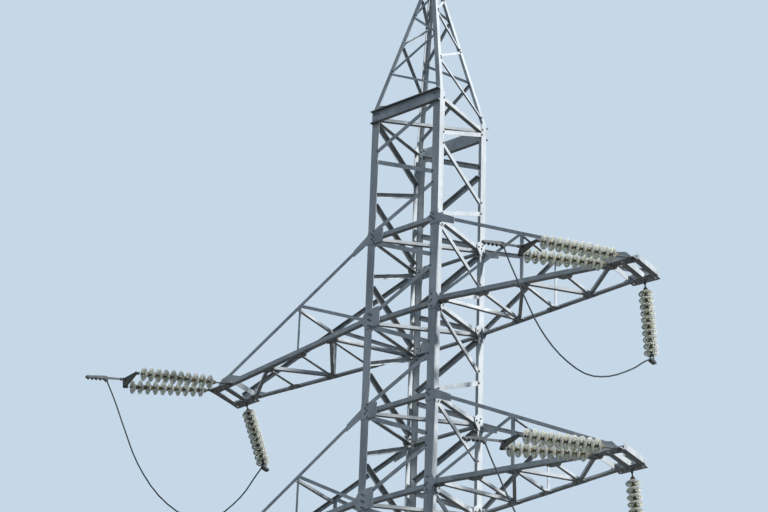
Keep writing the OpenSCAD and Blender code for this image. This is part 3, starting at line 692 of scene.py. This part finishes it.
def hexagon(bm, low, height, flats):
    """Hexagon with chamfered corners on top."""
    radius = flats / math.sqrt(3)
    made = bmesh.ops.create_cone(
        bm, cap_ends=True, segments=6, radius1=radius, radius2=radius, depth=height,
        matrix=Matrix.Translation((0, 0, low + height / 2)))
    top = [edge for edge in {e for v in made["verts"] for e in v.link_edges}
           if all(v.co.z > low + height / 2 for v in edge.verts)]
    bmesh.ops.bevel(
        bm, geom=top, offset=height * CHAMFER, offset_type="OFFSET", segments=1, profile=0.5, affect="EDGES",
        material=-1)


def cylinder(bm, low, height, diameter, segments):
    bmesh.ops.create_cone(
        bm, cap_ends=True, segments=segments, radius1=diameter / 2, radius2=diameter / 2, depth=height,
        matrix=Matrix.Translation((0, 0, low + height / 2)))


def bolt_shape(grip):
    """Bolt with its head and washer on Z = 0, and its nut, washer and thread end under what it clamps."""
    b = bolts()
    bm = bmesh.new()
    cylinder(bm, 0, b.washer_t, b.washer_d, WASHER_SIDES)
    hexagon(bm, b.washer_t, b.head_h, b.flats)
    nut = bmesh.new()
    cylinder(nut, 0, b.washer_t, b.washer_d, WASHER_SIDES)
    hexagon(nut, b.washer_t, b.nut_h, b.flats)
    cylinder(nut, b.washer_t + b.nut_h, b.past, b.shank, THREAD_SIDES)
    bmesh.ops.rotate(nut, verts=nut.verts, cent=(0, 0, 0), matrix=Matrix.Rotation(math.pi, 3, "X"))
    bmesh.ops.translate(nut, verts=nut.verts, vec=(0, 0, -grip))
    take_in(bm, nut)
    return bm


def bolt_piece(name, by_grip, finish):
    """One piece with every bolt of a part of the tower."""
    whole = bmesh.new()
    for grip, places in by_grip.items():
        take_in(whole, copies(bolt_shape(grip), places))
    return new_piece(name, whole, finish, BOLT_SHARP_ANGLE)


def node_plate_shape():
    """Gusset plate under a node of an arm's floor."""
    bm = bmesh.new()
    face = bm.faces.new([bm.verts.new((x, y, 0)) for x, y in NODE_PLATE])
    made = bmesh.ops.extrude_face_region(bm, geom=[face])
    raised = [v for v in made["geom"] if isinstance(v, bmesh.types.BMVert)]
    bmesh.ops.translate(bm, verts=raised, vec=(0, 0, -bolts().node_plate_t))
    bmesh.ops.recalc_face_normals(bm, faces=bm.faces)
    return bm


class PYLON_OT_fasteners(Operator):
    """Makes the hexagon bolts and the plates under the arms' nodes"""

    bl_idname = "pylon.fasteners"
    bl_label = "Bolts and plates"

    def execute(self, context):
        t, c = tower(), colours()
        # Partly painted shade: the bolt colours are darker than the steel's, standing in for their shade
        zinc = galvanised_steel("zinc plated bolts", c.bolt, c.bolt_patina_and_shade, 1.0)
        under, plates = arm_bolts_and_plates()
        arm_grip = bolts().node_plate_t + t.chord_t + t.light_t - WELD
        for name, by_grip in (
                ("bolts_head", head_bolts()), ("bolts_body", body_bolts()), ("bolts_peak", peak_bolts()),
                ("bolts_arms", {arm_grip: under})):
            bolt_piece(name, by_grip, zinc)
        bm = copies(node_plate_shape(), plates)
        bmesh.ops.recalc_face_normals(bm, faces=bm.faces)
        new_piece("node_plates", bm, bpy.data.materials["galvanised arm steel"])
        return {"FINISHED"}


# Materials
def material(name):
    """Material with an empty node tree."""
    made = bpy.data.materials.new(name)
    made.use_nodes = True
    made.node_tree.nodes.clear()
    return made


def node(tree, kind, settings=None, values=None, links=None):
    """Adds a node with its settings, socket values and links from other nodes' sockets."""
    made = tree.nodes.new(kind)
    for key, value in (settings or {}).items():
        setattr(made, key, value)
    for key, value in (values or {}).items():
        made.inputs[key].default_value = value
    for key, socket in (links or {}).items():
        tree.links.new(socket, made.inputs[key])
    return made


def rgba(rgb):
    return (*rgb, 1)


def mixed(tree, first, second, amount):
    """Socket of a colour between two, each a colour of its own or another node's socket."""
    values, links = {}, {0: amount}
    for key, part in ((6, first), (7, second)):
        if isinstance(part, bpy.types.NodeSocket):
            links[key] = part
        else:
            values[key] = rgba(part)
    return node(tree, "ShaderNodeMix", {"data_type": "RGBA"}, values, links).outputs[2]


def finish_material(made, shader):
    """Joins the shader to the material's output."""
    node(made.node_tree, "ShaderNodeOutputMaterial", links={"Surface": shader.outputs["BSDF"]})
    return made


def galvanised_steel(name, clean, patina, streak):
    """Hot-dip zinc that has weathered dull: faint crystal patches and rain streaks, with painted shade that
    darkens the faces that look down.
    """
    made = material(name)
    tree = made.node_tree
    place = node(tree, "ShaderNodeTexCoord").outputs["Object"]
    # Spangle is 10 to 20 mm wide, and is drawn at about 90 mm so that it shows on a 30 m tower
    spangle = node(tree, "ShaderNodeTexVoronoi", values={"Scale": 11}, links={"Vector": place})
    tone = node(tree, "ShaderNodeSeparateColor", links={"Color": spangle.outputs["Color"]})
    # Patches of patina about 300 mm wide, drawn out downwards where streak is under 1
    long_way = node(tree, "ShaderNodeMapping", values={"Scale": (1, 1, streak)}, links={"Vector": place})
    blotch = node(
        tree, "ShaderNodeTexNoise", values={"Scale": 3.2, "Detail": 6, "Roughness": 0.7},
        links={"Vector": long_way.outputs["Vector"]})
    patch = node(
        tree, "ShaderNodeMapRange", values={"From Min": 0.36, "From Max": 0.68},
        links={"Value": blotch.outputs["Fac"]})
    amount = node(
        tree, "ShaderNodeMath", {"operation": "MULTIPLY_ADD"}, {1: 0.3},
        {0: tone.outputs["Red"], 2: patch.outputs["Result"]})
    zinc = mixed(tree, clean, patina, amount.outputs["Value"])
    # Painted shade: faces that look down are mixed towards a dark brown-grey, standing in for the shade under
    # the bars
    normal = node(
        tree, "ShaderNodeSeparateXYZ", links={0: node(tree, "ShaderNodeNewGeometry").outputs["Normal"]})
    under = node(
        tree, "ShaderNodeMapRange", values={"From Min": -0.45, "From Max": -0.95, "To Max": 0.85},
        links={"Value": normal.outputs["Z"]})
    zinc_and_painted_shade = mixed(tree, zinc, colours().underside_painted_shade, under.outputs["Result"])
    rough = node(
        tree, "ShaderNodeMapRange", values={"To Min": 0.5, "To Max": 0.68},
        links={"Value": patch.outputs["Result"]})
    grit = node(tree, "ShaderNodeTexNoise", values={"Scale": 60, "Detail": 3}, links={"Vector": place})
    bump = node(
        tree, "ShaderNodeBump", values={"Strength": 0.12, "Distance": 0.004},
        links={"Height": grit.outputs["Fac"]})
    shader = node(
        tree, "ShaderNodeBsdfPrincipled", values={"Metallic": 0.15, "Specular IOR Level": 0.3},
        links={"Base Color": zinc_and_painted_shade, "Roughness": rough.outputs["Result"], "Normal": bump.outputs["Normal"]})
    return finish_material(made, shader)


def toughened_glass():
    """Pressed and toughened glass, faintly green in clouds. Pressing leaves its skin slightly wavy, so its
    highlights spread, and it lets the light through from behind, so that the discs glow."""
    made = material("toughened glass")
    tree = made.node_tree
    place = node(tree, "ShaderNodeTexCoord").outputs["Object"]
    cloud = node(tree, "ShaderNodeTexNoise", values={"Scale": 5, "Detail": 2}, links={"Vector": place})
    c = colours()
    shader = node(
        tree, "ShaderNodeBsdfPrincipled",
        values={"Roughness": 0.24, "IOR": 1.5, "Transmission Weight": 0.4, "Subsurface Weight": 1.0,
                "Subsurface Radius": (1.0, 1.0, 0.8), "Subsurface Scale": 0.3},
        links={"Base Color": mixed(tree, c.glass, c.glass_tint, cloud.outputs["Fac"])})
    return finish_material(made, shader)


def cap_iron():
    """Malleable iron cap whose zinc has gone, olive-brown and dusty."""
    made = material("cap iron")
    tree = made.node_tree
    place = node(tree, "ShaderNodeTexCoord").outputs["Object"]
    rust = node(tree, "ShaderNodeTexNoise", values={"Scale": 22, "Detail": 4}, links={"Vector": place})
    c = colours()
    shader = node(
        tree, "ShaderNodeBsdfPrincipled", values={"Roughness": 0.68, "Metallic": 0.2},
        links={"Base Color": mixed(tree, c.cap, c.cap_dust, rust.outputs["Fac"])})
    return finish_material(made, shader)


def stranded_aluminium():
    """Aluminium strands laid in a helix, dull and dark from years in the open and darker still as painted
    shade, with painted shade in the grooves between the strands.
    """
    made = material("stranded aluminium")
    tree = made.node_tree
    sizes, c = jumpers(), colours()
    run = node(tree, "ShaderNodeTexCoord").outputs["UV"]
    ways = node(tree, "ShaderNodeSeparateXYZ", links={0: run})
    turn = node(tree, "ShaderNodeMath", {"operation": "DIVIDE"}, {1: sizes.strand_lay}, {0: ways.outputs["Y"]})
    helix = node(
        tree, "ShaderNodeMath", {"operation": "ADD"}, {}, {0: ways.outputs["X"], 1: turn.outputs["Value"]})
    angle = node(
        tree, "ShaderNodeMath", {"operation": "MULTIPLY"}, {1: sizes.strands * math.tau},
        {0: helix.outputs["Value"]})
    ridge = node(tree, "ShaderNodeMath", {"operation": "SINE"}, {}, {0: angle.outputs["Value"]})
    shade = node(
        tree, "ShaderNodeMapRange", values={"From Min": -1, "From Max": 1},
        links={"Value": ridge.outputs["Value"]})
    # Painted shade: the grooves between the strands take the darkest colour, standing in for the shade in them
    metal = mixed(tree, c.strand_groove_painted_shade, c.conductor, shade.outputs["Result"])
    bump = node(
        tree, "ShaderNodeBump", values={"Strength": 0.6, "Distance": 0.002},
        links={"Height": shade.outputs["Result"]})
    shader = node(
        tree, "ShaderNodeBsdfPrincipled", values={"Roughness": 0.5, "Metallic": 0.4},
        links={"Base Color": metal, "Normal": bump.outputs["Normal"]})
    return finish_material(made, shader)


class PYLON_OT_steel(Operator):
    """Finishes the steel of the frame's own nodes"""

    bl_idname = "pylon.steel"
    bl_label = "Steel"

    def execute(self, context):
        c = colours()
        leg_steel = galvanised_steel("galvanised leg steel", c.steel, c.steel_dark, 0.2)
        bar_steel = galvanised_steel("galvanised bar steel", c.steel, c.steel_dark, 0.5)
        arm_steel = galvanised_steel("galvanised arm steel", c.steel, c.steel_dark, 1.0)
        # Painted shade: the forged fittings take the darkened zinc colours, standing in for their shade
        forgings_in_painted_shade = galvanised_steel("galvanised forgings", c.fitting_in_painted_shade, c.fitting_patina_and_shade, 1.0)
        groups = {
            "leg": leg_steel, "head_legs": leg_steel, "feet": leg_steel, "peak": leg_steel,
            "top_beams": bar_steel, "base": bar_steel, "body": bar_steel, "head": bar_steel, "plan": bar_steel,
            "arm": arm_steel, "ties": arm_steel, "fittings": forgings_in_painted_shade, "jumper": forgings_in_painted_shade, "discs": forgings_in_painted_shade}
        for name, piece in NODES.items():
            kind = name if name in groups else name.split("_")[0]
            piece.data.materials.clear()
            piece.data.materials.append(groups[kind])
        return {"FINISHED"}


# Stage: the camera stands at eye height on the ground and looks up at the head. Lengths are in metres
EYE = (22.154, -31.346, 1.653)
AIM_AZIMUTH = math.radians(36.375)
AIM_ELEVATION = math.radians(30.5005)
AIM_ROLL = math.radians(2.0194)
FOCAL_PIXELS = 2500.16
PHOTO_WIDTH = 768
CLIP_END = 500
FLOOR_RADIUS = 60
SOFT_STRENGTH = 0.13
# Way that each lamp shines, its strength and its spread in degrees
LAMPS = {
    "key": ((-0.80, -0.14, -0.70), 4.6, 5),
    "fill": ((0.55, 0.75, -0.35), 0.13, 60)}


def camera_turn():
    """Rotation of a camera that looks along the aim, with its right side rolled up."""
    ahead = Vector((
        -math.sin(AIM_AZIMUTH) * math.cos(AIM_ELEVATION), math.cos(AIM_AZIMUTH) * math.cos(AIM_ELEVATION),
        math.sin(AIM_ELEVATION)))
    level = ahead.cross(Vector((0, 0, 1))).normalized()
    above = level.cross(ahead)
    right = math.cos(AIM_ROLL) * level + math.sin(AIM_ROLL) * above
    up = math.cos(AIM_ROLL) * above - math.sin(AIM_ROLL) * level
    return Matrix((right, up, -ahead)).transposed().to_4x4()


class PYLON_OT_stage(Operator):
    """Makes the camera, lamps, floor and backdrop"""

    bl_idname = "pylon.stage"
    bl_label = "Stage"

    def execute(self, context):
        scene = context.scene
        lens = bpy.data.cameras.new("camera")
        lens.lens = FOCAL_PIXELS / PHOTO_WIDTH * lens.sensor_width
        lens.clip_end = CLIP_END
        camera = bpy.data.objects.new("camera", lens)
        camera.matrix_world = Matrix.Translation(EYE) @ camera_turn()
        scene.collection.objects.link(camera)
        scene.camera = camera
        make_floor()
        make_backdrop()
        make_lamps()
        scene.view_settings.view_transform = "Standard"
        return {"FINISHED"}


def seen_directly(tree):
    """Socket that is 1 for what the camera, metal and glass see, and 0 for the soft light on the tower."""
    path = node(tree, "ShaderNodeLightPath")
    clear = node(
        tree, "ShaderNodeMath", {"operation": "MAXIMUM"}, {},
        {0: path.outputs["Is Camera Ray"], 1: path.outputs["Is Transmission Ray"]})
    return node(
        tree, "ShaderNodeMath", {"operation": "MAXIMUM"}, {},
        {0: clear.outputs["Value"], 1: path.outputs["Is Glossy Ray"]}).outputs["Value"]


def make_floor():
    """A plain matt floor, darker where it isn't seen directly, so that the tower's undersides stay dim."""
    bm = bmesh.new()
    bmesh.ops.create_circle(bm, cap_ends=True, segments=FLOOR_SIDES, radius=FLOOR_RADIUS)
    floor = bpy.data.objects.new("floor", mesh_of("floor", bm))
    made = material("matt floor")
    tree = made.node_tree
    c = colours()
    shader = node(
        tree, "ShaderNodeBsdfPrincipled", values={"Roughness": 0.9, "Specular IOR Level": 0.1},
        links={"Base Color": mixed(tree, c.floor_dark, c.floor, seen_directly(tree))})
    floor.data.materials.append(finish_material(made, shader))
    bpy.context.scene.collection.objects.link(floor)


def make_backdrop():
    """A plain backdrop that the camera, metal and glass see, over a dimmer soft light."""
    world = bpy.data.worlds.new("backdrop")
    world.use_nodes = True
    tree = world.node_tree
    tree.nodes.clear()
    c = colours()
    plain = node(tree, "ShaderNodeBackground", values={"Color": rgba(c.backdrop), "Strength": 1})
    soft = node(tree, "ShaderNodeBackground", values={"Color": rgba(c.soft_light), "Strength": SOFT_STRENGTH})
    both = node(
        tree, "ShaderNodeMixShader",
        links={0: seen_directly(tree), 1: soft.outputs["Background"], 2: plain.outputs["Background"]})
    node(tree, "ShaderNodeOutputWorld", links={"Surface": both.outputs["Shader"]})
    bpy.context.scene.world = world


def make_lamps():
    """The key, which stands for the sun on the camera's right, and a weak fill on its left."""
    for name, (way, strength, spread) in LAMPS.items():
        light = bpy.data.lights.new(name, "SUN")
        light.energy = strength
        light.angle = math.radians(spread)
        lamp = bpy.data.objects.new(name, light)
        lamp.rotation_mode = "QUATERNION"
        lamp.rotation_quaternion = Vector(way).to_track_quat("-Z", "Y")
        bpy.context.scene.collection.objects.link(lamp)


class PYLON_PT_panel(Panel):
    """Lists the pylon's sizes, colours and steps"""

    bl_idname = "PYLON_PT_panel"
    bl_label = "Pylon"
    bl_space_type = "VIEW_3D"
    bl_region_type = "UI"
    bl_category = "Pylon"

    def draw(self, context):
        for step in STEPS:
            self.layout.operator(step.bl_idname)
        for name in GROUPS:
            group = getattr(context.scene, name)
            for key in group.bl_rna.properties.keys():
                if key not in ("rna_type", "name"):
                    self.layout.prop(group, key)


STEPS = [PYLON_OT_stage, PYLON_OT_jumpers, PYLON_OT_steel, PYLON_OT_fasteners, PYLON_OT_discs]
GROUPS = {
    "pylon_colours": PylonColours, "pylon_tower": TowerSizes, "pylon_bolts": BoltSizes,
    "pylon_strings": StringSizes, "pylon_jumpers": JumperSizes}


def register():
    for made in [*GROUPS.values(), *STEPS, PYLON_PT_panel]:
        bpy.utils.register_class(made)
    for name, group in GROUPS.items():
        setattr(bpy.types.Scene, name, PointerProperty(type=group))


def unregister():
    for name in GROUPS:
        delattr(bpy.types.Scene, name)
    for made in reversed([*GROUPS.values(), *STEPS, PYLON_PT_panel]):
        bpy.utils.unregister_class(made)


def main():
    register()
    for step in STEPS:
        group, name = step.bl_idname.split(".")
        getattr(getattr(bpy.ops, group), name)()


if __name__ == "__main__":
    main()
